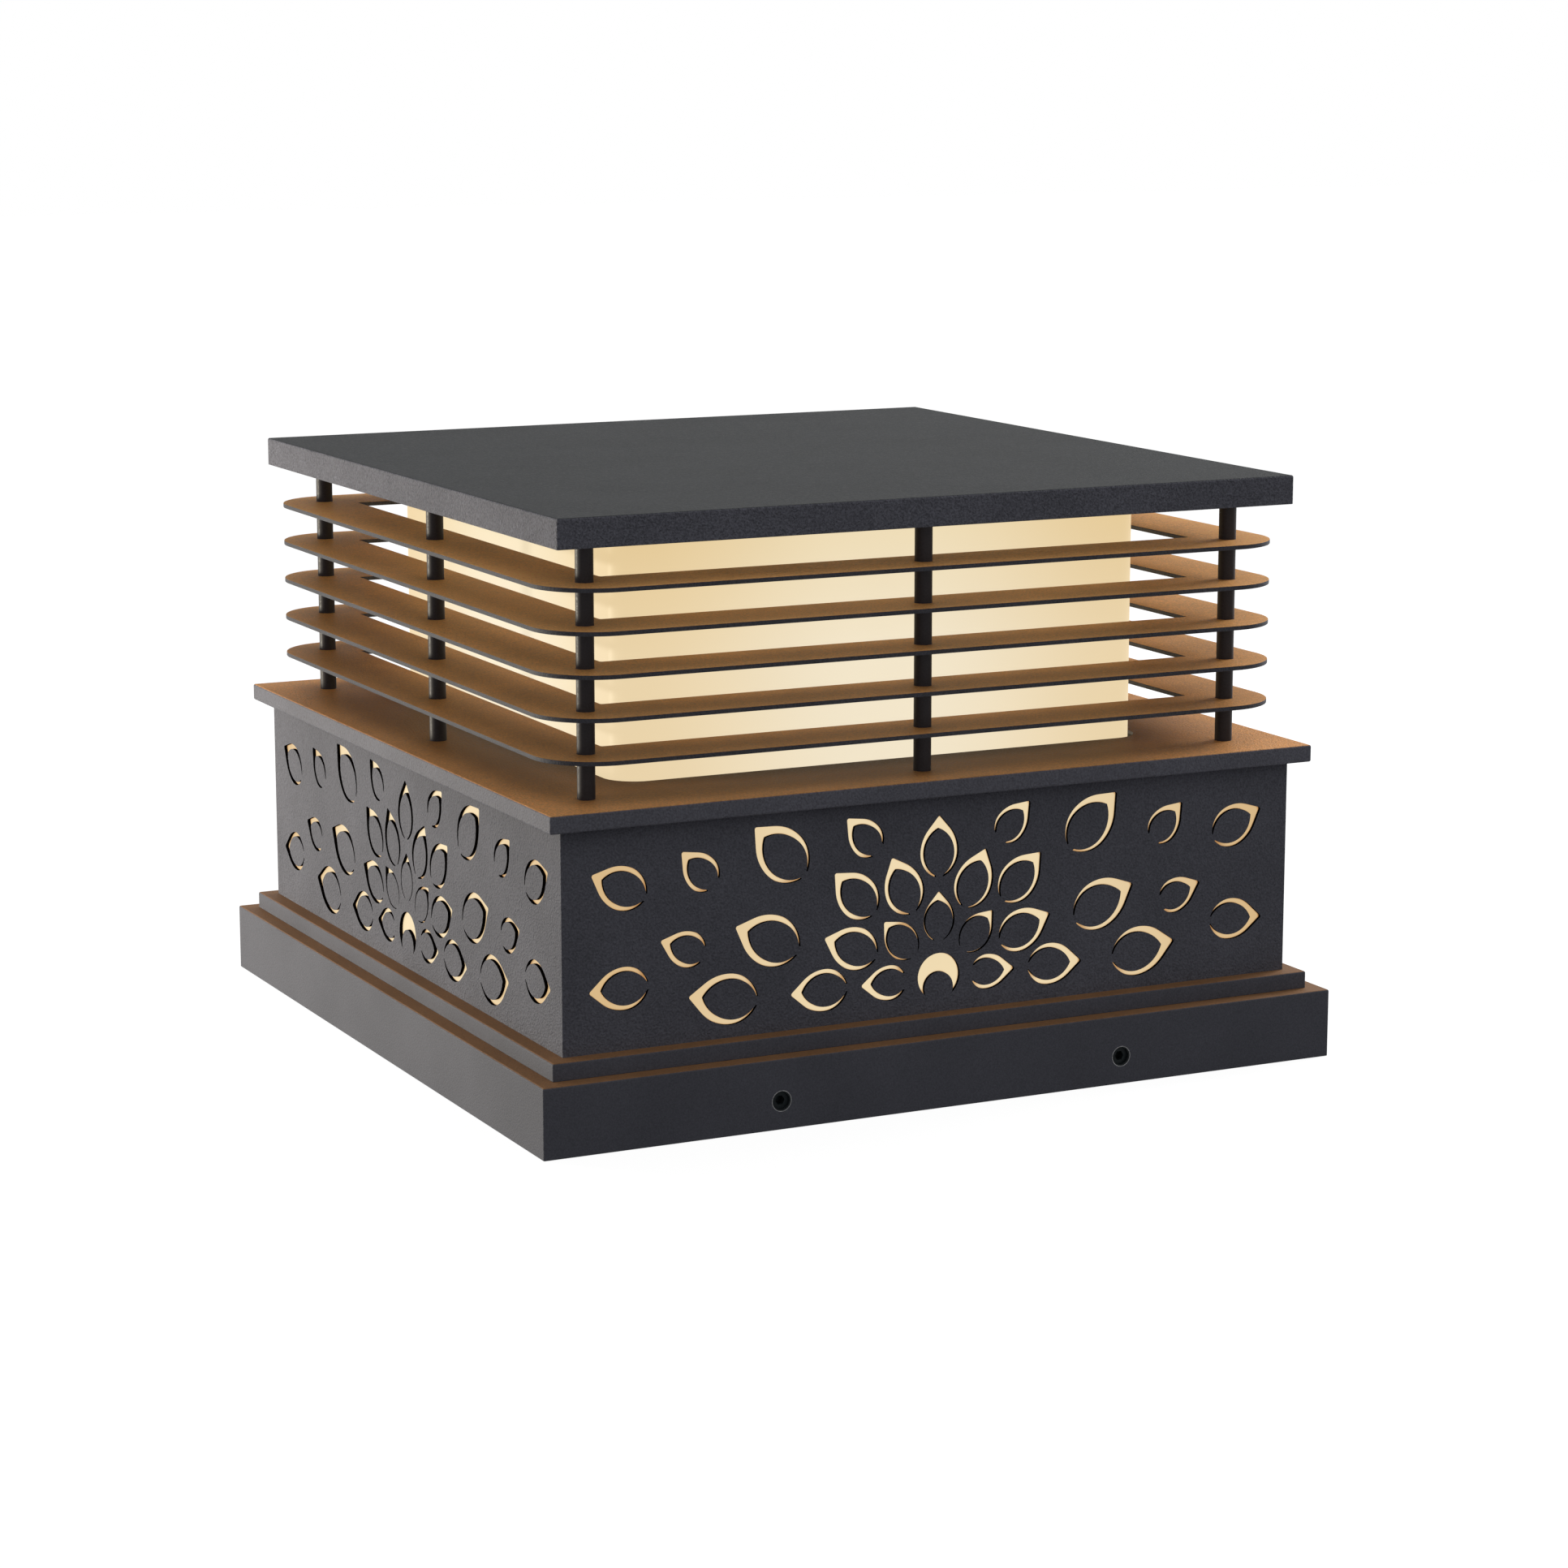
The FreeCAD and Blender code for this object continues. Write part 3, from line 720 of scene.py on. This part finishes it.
class LAMP_OT_base(bpy.types.Operator):
    """Build the base skirt and the step moulding"""

    bl_idname = "lamp.base"
    bl_label = "Base skirt and step"

    def execute(self, context):
        sheet, paint = context.scene.lamp_sheet, context.scene.lamp_coat
        # The moulding grey is a darker copy of the charcoal: painted shade.
        material = coat(
            "moulding coat", paint.moulding_grey_shaded, paint.ledge_brown_lit, depth=0.16 * MM, contrast=0.16
        )
        for name in ("base_skirt", "step_frame"):
            low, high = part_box(name)
            half, under, inside = high.x, high.z - SKIRT_SHEET, high.x - SKIRT_SHEET
            corners = [
                (half, low.z, sheet.edge_radius),
                (half, high.z, sheet.bend_radius),
                (BASE_OPENING, high.z, sheet.edge_radius),
                (BASE_OPENING, under, sheet.edge_radius),
                (inside, under, INNER_BEND),
                (inside, low.z, sheet.edge_radius),
            ]
            mesh = square_mesh(name, fold(corners, half, sheet.corner_radius), SHARP_CORNER)
            piece = new_object(name + "_folded", mesh)
            if name == "base_skirt":
                self.bore(piece, -half)
            finish_piece(piece, [name], "moulding_coat", material)
        return {"FINISHED"}

    def bore(self, piece, face):
        """Cuts the two holes for the clamp inserts through the front wall."""
        low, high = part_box("clamp_inserts")
        radius, height = (high.z - low.z) / 2, (high.z + low.z) / 2
        for side in (-1, 1):
            place = Matrix.Translation((side * (high.x - radius), face, height))
            bm = bmesh.new()
            bmesh.ops.create_cone(
                bm,
                cap_ends=True,
                segments=CLAMP_ROUND,
                radius1=radius,
                radius2=radius,
                depth=4 * SKIRT_SHEET,
                matrix=place @ Matrix.Rotation(math.pi / 2, 4, "X"),
            )
            cutter = put("hole", mesh_from("hole", bm))
            cut = piece.modifiers.new("hole", "BOOLEAN")
            cut.object = cutter
            cut.solver = "EXACT"
            made = evaluated_mesh(piece)
            piece.modifiers.remove(cut)
            piece.data = made
            bpy.data.objects.remove(cutter)


class LAMP_OT_panels(bpy.types.Operator):
    """Build the four pierced panels with smooth slots"""

    bl_idname = "lamp.panels"
    bl_label = "Pierced panels"

    def execute(self, context):
        paint = context.scene.lamp_coat
        face_coat = coat(
            "panel coat", paint.charcoal, grain=paint.coarse_grain, depth=0.7 * MM, specular=0.06
        )
        # The slots' walls get a near-black coat: painted shade.
        slot_shade_coat = coat("slot shade coat", paint.slot_shade_black, contrast=0.2, specular=0.0)
        sheet = self.front_sheet()
        for quarter, side in enumerate(SIDES):
            mesh = sheet.copy()
            mesh.transform(Matrix.Rotation(math.pi / 2 * quarter, 4, "Z"))
            piece = new_object("lotus_panel_" + side, mesh, sharp=30.0)
            finish_piece(piece, ["pierced_panel_" + side], "panel_coat", face_coat, slot_shade_coat)
        bpy.data.meshes.remove(sheet)
        return {"FINISHED"}

    def front_sheet(self):
        """The front panel, mitred at its ends, with the walls of its slots marked for the second material."""
        low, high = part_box("pierced_panel_front")
        half, tall, thick = high.x, high.z - low.z, high.y - low.y
        margin = 0.5 * MM
        outlines = [[(-half, 0.0), (half, 0.0), (half, tall), (-half, tall)]]
        outlines += [[(x * MM, y * MM) for x, y in outline] for outline in slot_outlines()]
        sheet = cut_sheet("pierced_panel", outlines, thick, 0.0)
        sheet.transform(Matrix.Translation((0, high.y, low.z)) @ Matrix.Rotation(math.pi / 2, 4, "X"))
        bm = bmesh.new()
        bm.from_mesh(sheet)
        for vert in bm.verts:
            if abs(vert.co.x) > half - SAME_FACE:
                vert.co.x = math.copysign(half - (vert.co.y - low.y), vert.co.x)
        for face in bm.faces:
            middle = face.calc_center_median()
            within = abs(middle.x) < half - 2 * thick and low.z + margin < middle.z < high.z - margin
            face.material_index = 1 if within and abs(face.normal.y) < 0.5 else 0
        bpy.data.meshes.remove(sheet)
        return mesh_from("pierced_panel", bm)


class LAMP_OT_diffusers(bpy.types.Operator):
    """Light the four diffusers behind the panels"""

    bl_idname = "lamp.diffusers"
    bl_label = "Diffusers"

    def execute(self, context):
        light = context.scene.lamp_glow
        low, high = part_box("diffuser_front")
        reach, levels = [part * high.x for part in DIFFUSER_FADE], (low.z, high.z)
        material = glow(
            "lit diffuser",
            light.diffuser_middle,
            light.diffuser_ends,
            WHITE,
            reach,
            levels,
            unevenness=0.02,
            wall=(light.wall_shade, WALL_REACH),
        )
        dress(material, *nodes_named("diffuser_"))
        return {"FINISHED"}


class LAMP_OT_flange(bpy.types.Operator):
    """Build the overhanging flange plate"""

    bl_idname = "lamp.flange"
    bl_label = "Flange plate"

    def execute(self, context):
        sheet, paint = context.scene.lamp_sheet, context.scene.lamp_coat
        low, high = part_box("flange_plate")
        half, inside = high.x, high.x - FLANGE_SHEET
        under, floor = high.z - FLANGE_SHEET, low.z + FLANGE_SHEET
        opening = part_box("shade")[1].x + SHADE_CLEARANCE
        opening_corner = sheet.shade_corner + SHADE_CLEARANCE
        corners = [
            (half, low.z, sheet.bend_radius),
            (half, high.z, sheet.bend_radius),
            (opening, high.z, sheet.edge_radius),
            (opening, under, sheet.edge_radius),
            (inside, under, INNER_BEND),
            (inside, floor, INNER_BEND),
            (FLANGE_LIP, floor, sheet.edge_radius),
            (FLANGE_LIP, low.z, sheet.edge_radius),
        ]
        loops = []
        for at, height, corner in fold(corners, half, sheet.corner_radius):
            loops.append((at, height, opening_corner if at < (opening + FLANGE_LIP) / 2 else corner))
        piece = new_object("flange_pan", square_mesh("flange_pan", loops, FLANGE_CORNER))
        # The flange coat carries painted shade beside the shade's foot.
        material = coat(
            "flange coat",
            paint.cap_charcoal_lit,
            paint.flange_brown_lit,
            grain=paint.coarse_grain,
            depth=0.5 * MM,
            inner=(paint.foot_shade_share, FLANGE_SHADE_FADE),
        )
        finish_piece(piece, ["flange_plate"], "flange_coat", material)
        return {"FINISHED"}


class LAMP_OT_shade(bpy.types.Operator):
    """Build the lit white shade and finish its gaskets"""

    bl_idname = "lamp.shade"
    bl_label = "Shade"

    def execute(self, context):
        sheet, light = context.scene.lamp_sheet, context.scene.lamp_glow
        low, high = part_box("shade")
        half, inside = high.x, high.x - sheet.shade_wall
        outline = ((half, low.z), (half, high.z), (inside, high.z), (inside, low.z))
        corners = [(at, height, SHADE_EDGE) for at, height in outline]
        mesh = square_mesh("opal_shade", fold(corners, half, sheet.shade_corner), SHADE_CORNER)
        piece = new_object("opal_shade", mesh)
        reach, levels = [part * half for part in SHADE_FADE], ((low.z + high.z) / 2, high.z)
        material = glow(
            "lit shade", light.shade_middle, light.shade_ends, light.shade_top, reach, levels, unevenness=0.01
        )
        finish_piece(piece, ["shade"], "opal_shade", material)
        rubber = mottled("silicone rubber", (0.42, 0.42, 0.42), rough=0.7, grain=0.3 * MM)
        dress(rubber, *nodes_named("shade_gasket_"))
        return {"FINISHED"}


class LAMP_OT_louvers(bpy.types.Operator):
    """Build the five louver rings"""

    bl_idname = "lamp.louvers"
    bl_label = "Louver rings"

    def execute(self, context):
        sheet, paint = context.scene.lamp_sheet, context.scene.lamp_coat
        low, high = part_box(RING_NAMES[0])
        half, thick = high.x, high.z - low.z
        rim = square_loop(half, 0.0, sheet.ring_corner, RING_CORNER)
        opening = square_loop(half - RING_BAND, 0.0, sheet.ring_inner_corner, SHARP_CORNER)
        outlines = [[point[:2] for point in loop] for loop in (rim, opening)]
        for name in POST_NAMES:
            post_low, post_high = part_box(name)
            centre, radius = (post_low + post_high) / 2, (post_high.x - post_low.x) / 2
            outlines.append(circle(centre, radius + POST_FIT, POST_HOLE))
        # The louver coat carries painted light that brightens the higher rings, and painted shade beside the
        # shade's foot.
        material = coat(
            "louver coat",
            paint.rim_grey_shaded,
            paint.low_bronze_shaded,
            depth=0.25 * MM,
            specular=0.08,
            painted_rise=(paint.bronze, (low.z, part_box(RING_NAMES[-1])[1].z)),
            inner=(paint.ring_shade_share, RING_SHADE_FADE),
        )
        for name in RING_NAMES:
            mesh = cut_sheet(name + "_plate", outlines, thick, sheet.edge_radius)
            mesh.transform(Matrix.Translation((0, 0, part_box(name)[0].z)))
            finish_piece(new_object(name + "_plate", mesh), [name], "louver_coat", material)
        return {"FINISHED"}


class LAMP_OT_posts(bpy.types.Operator):
    """Build the eight posts"""

    bl_idname = "lamp.posts"
    bl_label = "Posts"

    def execute(self, context):
        black = context.scene.lamp_coat.post_black
        material = coat("post coat", black, rough=0.5, depth=0.015 * MM, contrast=0.15, specular=0.16)
        for name in POST_NAMES:
            low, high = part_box(name)
            centre, radius, tall = (low + high) / 2, (high.x - low.x) / 2, high.z - low.z
            profile = [(0.0, 0.0), (radius, 0.0), (radius, tall / 2), (radius, tall), (0.0, tall)]
            bm = bmesh.new()
            lathe(bm, profile, POST_ROUND, Matrix.Translation((centre.x, centre.y, low.z)))
            piece = new_object(name + "_rod", mesh_from(name + "_rod", bm), sharp=50.0)
            finish_piece(piece, [name], "post_coat", material)
        return {"FINISHED"}


class LAMP_OT_cap(bpy.types.Operator):
    """Build the flat cap and finish its tray"""

    bl_idname = "lamp.cap"
    bl_label = "Cap"

    def execute(self, context):
        sheet, paint = context.scene.lamp_sheet, context.scene.lamp_coat
        low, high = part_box("cap_lid")
        half, under, inside = high.x, high.z - CAP_SHEET, high.x - CAP_SHEET
        # The loops run in to a small square in the middle, which one face closes above and one below.
        middle = 1 * MM
        corners = [
            (middle, high.z, 0.0),
            (half, high.z, sheet.bend_radius),
            (half, low.z, sheet.edge_radius),
            (inside, low.z, sheet.edge_radius),
            (inside, under, INNER_BEND),
            (middle, under, 0.0),
        ]
        loops = fold(corners, half, sheet.corner_radius, closed=False)
        piece = new_object("cap_cover", square_mesh("cap_cover", loops, SHARP_CORNER, closed=False))
        # The cap's top is a far darker grey than its rims: painted shade.
        material = coat(
            "cap coat",
            paint.cap_charcoal_lit,
            paint.cap_grey_shaded,
            grain=paint.coarse_grain,
            depth=0.9 * MM,
            contrast=0.34,
            specular=0.06,
            flat_grain=0.25,
        )
        finish_piece(piece, ["cap_lid"], "cap_coat", material)
        dress(material, "cap_tray")
        return {"FINISHED"}


class LAMP_OT_screws(bpy.types.Operator):
    """Build the clamp inserts and finish their screws"""

    bl_idname = "lamp.screws"
    bl_label = "Clamp screws"

    def execute(self, context):
        low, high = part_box("clamp_inserts")
        outer, deep = (high.z - low.z) / 2, high.y - low.y
        screw_low, screw_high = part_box("clamp_screws")
        bore = (screw_high.z - screw_low.z) / 2 + SCREW_FIT
        profile = [(outer, 0.0), (outer - LIP_WIDTH, 0.0), (bore, LIP_CHAMFER), (bore, deep), (outer, deep)]
        bm = bmesh.new()
        for side in (-1, 1):
            place = Matrix.Translation((side * (high.x - outer), low.y, (low.z + high.z) / 2))
            lathe(bm, profile, CLAMP_ROUND, place @ Matrix.Rotation(-math.pi / 2, 4, "X"))
        for face in bm.faces:
            face.material_index = 0 if face.calc_center_median().y < low.y + SAME_FACE else 1
        piece = new_object("clamp_sleeves", mesh_from("clamp_sleeves", bm))
        lip = mottled("insert lip", (0.40, 0.40, 0.41), rough=0.45, grain=0.6 * MM, contrast=0.5)
        # Painted shade: the insert's bore is a near-black copy of its steel, the shade in the hole.
        bore_shade = mottled("insert bore shade", (0.012, 0.015, 0.017), rough=0.5, grain=0.3 * MM, specular=0.15)
        steel = mottled("screw steel", (0.012, 0.016, 0.018), rough=0.5, grain=0.3 * MM, specular=0.1)
        finish_piece(piece, ["clamp_inserts"], "insert_steel", lip, bore_shade)
        dress(steel, "clamp_screws")
        return {"FINISHED"}


class LAMP_OT_gear(bpy.types.Operator):
    """Finish the lamp gear and the steel inside and under the body"""

    bl_idname = "lamp.gear"
    bl_label = "Lamp gear"

    def execute(self, context):
        # The shade's shelf is near black: painted shade in the gap round the shade.
        black = mottled("shelf shade black", (0.008, 0.007, 0.006), rough=0.6, grain=1 * MM)
        zinc = mottled(
            "zinc-coated steel", (0.52, 0.53, 0.54), rough=0.5, grain=6 * MM, metallic=0.9, contrast=0.2
        )
        board = mottled("board aluminium", (0.78, 0.79, 0.80), rough=0.4, grain=1 * MM, metallic=0.9)
        driver = mottled("driver plastic", (0.78, 0.78, 0.75), rough=0.5, grain=0.5 * MM, contrast=0.04)
        terminal = mottled("terminal plastic", (0.62, 0.62, 0.58), rough=0.45, grain=0.5 * MM, contrast=0.04)
        nylon = mottled("gland nylon", (0.03, 0.03, 0.03), rough=0.55, grain=0.5 * MM)
        yellow = (0.98, 0.86, 0.45)
        lens = glow("lamp lens", yellow, yellow, yellow, WHOLE, WHOLE, unevenness=0.05)
        dress(black, "shade_shelf")
        dress(zinc, "gear_tray", *nodes_named("mounting_bar_"), *nodes_named("corner_angle_"))
        dress(board, "led_board")
        dress(driver, "led_driver")
        dress(terminal, "terminal_block")
        dress(nylon, "cable_gland", "gland_nut")
        dress(lens, "led_chips")
        return {"FINISHED"}


def look_at(item, place, aim):
    """Puts a light or a camera somewhere and turns it to a point."""
    item.location = place
    item.rotation_euler = (Vector(aim) - Vector(place)).to_track_quat("-Z", "Y").to_euler()


def soft_light(name, size, watts, place, tint=WHITE):
    """A square soft light that looks at the lamp."""
    data = bpy.data.lights.new(name, "AREA")
    data.size, data.energy, data.color = size, watts, tint
    look_at(put(name, data), place, LIGHT_AIM)


def seen_white(tree):
    """1 for what the camera sees straight, mirrored or through glass, 0 for all other light."""
    path = add(tree, "ShaderNodeLightPath").outputs
    either = number(tree, "MAXIMUM", path["Is Camera Ray"], path["Is Glossy Ray"])
    return number(tree, "MAXIMUM", either, path["Is Transmission Ray"])


class LAMP_OT_stage(bpy.types.Operator):
    """Set up the floor, the light round the lamp and the camera"""

    bl_idname = "lamp.stage"
    bl_label = "Stage"

    def execute(self, context):
        scene, stage = context.scene, context.scene.lamp_stage
        scene.view_settings.view_transform = "Standard"
        scene.world = bpy.data.worlds.new("studio")
        scene.world.use_nodes = True
        tree = scene.world.node_tree
        backdrop = tree.nodes["Background"].inputs
        feed(tree, backdrop["Strength"], ramp(tree, seen_white(tree), WHOLE, (stage.room_light, 1.0)))
        feed(tree, backdrop["Color"], WHITE)
        self.floor()
        soft_light("key light", KEY_SIZE, stage.key_power, KEY_PLACE, KEY_TINT)
        soft_light("side light", SIDE_SIZE, stage.side_power, SIDE_PLACE)
        data = bpy.data.cameras.new("photo camera")
        data.lens, data.sensor_width = stage.lens, SENSOR_WIDTH
        scene.camera = put("photo camera", data)
        look_at(scene.camera, CAMERA_PLACE, CAMERA_AIM)
        return {"FINISHED"}

    def floor(self):
        """A pale floor that keeps the lamp's shadow and shows white to the camera."""
        bm = bmesh.new()
        bmesh.ops.create_grid(bm, x_segments=1, y_segments=1, size=FLOOR_HALF)
        floor = put("floor", mesh_from("floor", bm))
        floor.location = (0, 0, -FLOOR_DROP)
        material, tree, shader = surface(
            "pale floor", Base_Color=FLOOR_GREY, Emission_Color=WHITE, Roughness=1.0, Specular_IOR_Level=0.0
        )
        level = ramp(tree, seen_white(tree), WHOLE, (0.0, FLOOR_GLOW))
        feed(tree, shader.inputs["Emission Strength"], level)
        floor.data.materials.append(material)


class LAMP_PT_sidebar(bpy.types.Panel):
    """The lamp's settings and operators in the 3D view's sidebar"""

    bl_idname = "LAMP_PT_sidebar"
    bl_label = "Pillar Lamp"
    bl_space_type = "VIEW_3D"
    bl_region_type = "UI"
    bl_category = "Pillar Lamp"

    def draw(self, context):
        for step in STEPS:
            self.layout.operator(step.bl_idname)
        for group in SETTINGS:
            settings = getattr(context.scene, group)
            for prop in settings.bl_rna.properties:
                if not prop.is_readonly and prop.identifier != "name":
                    self.layout.prop(settings, prop.identifier)


SETTINGS = {
    "lamp_sheet": LAMP_PG_sheet,
    "lamp_coat": LAMP_PG_coat,
    "lamp_glow": LAMP_PG_glow,
    "lamp_stage": LAMP_PG_stage,
}
STEPS = (
    LAMP_OT_finishes,
    LAMP_OT_base,
    LAMP_OT_panels,
    LAMP_OT_diffusers,
    LAMP_OT_flange,
    LAMP_OT_shade,
    LAMP_OT_louvers,
    LAMP_OT_posts,
    LAMP_OT_cap,
    LAMP_OT_screws,
    LAMP_OT_gear,
    LAMP_OT_stage,
)


def register():
    """Registers the settings, the operators and the panel."""
    for kind in (*SETTINGS.values(), *STEPS, LAMP_PT_sidebar):
        bpy.utils.register_class(kind)
    for name, kind in SETTINGS.items():
        setattr(bpy.types.Scene, name, bpy.props.PointerProperty(type=kind))


def unregister():
    """Takes the settings, the operators and the panel away again."""
    for name in SETTINGS:
        delattr(bpy.types.Scene, name)
    for kind in (LAMP_PT_sidebar, *reversed(STEPS), *reversed(tuple(SETTINGS.values()))):
        bpy.utils.unregister_class(kind)


def main():
    register()
    for step in STEPS:
        getattr(bpy.ops.lamp, step.bl_idname.split(".")[1])()


if __name__ == "__main__":
    main()
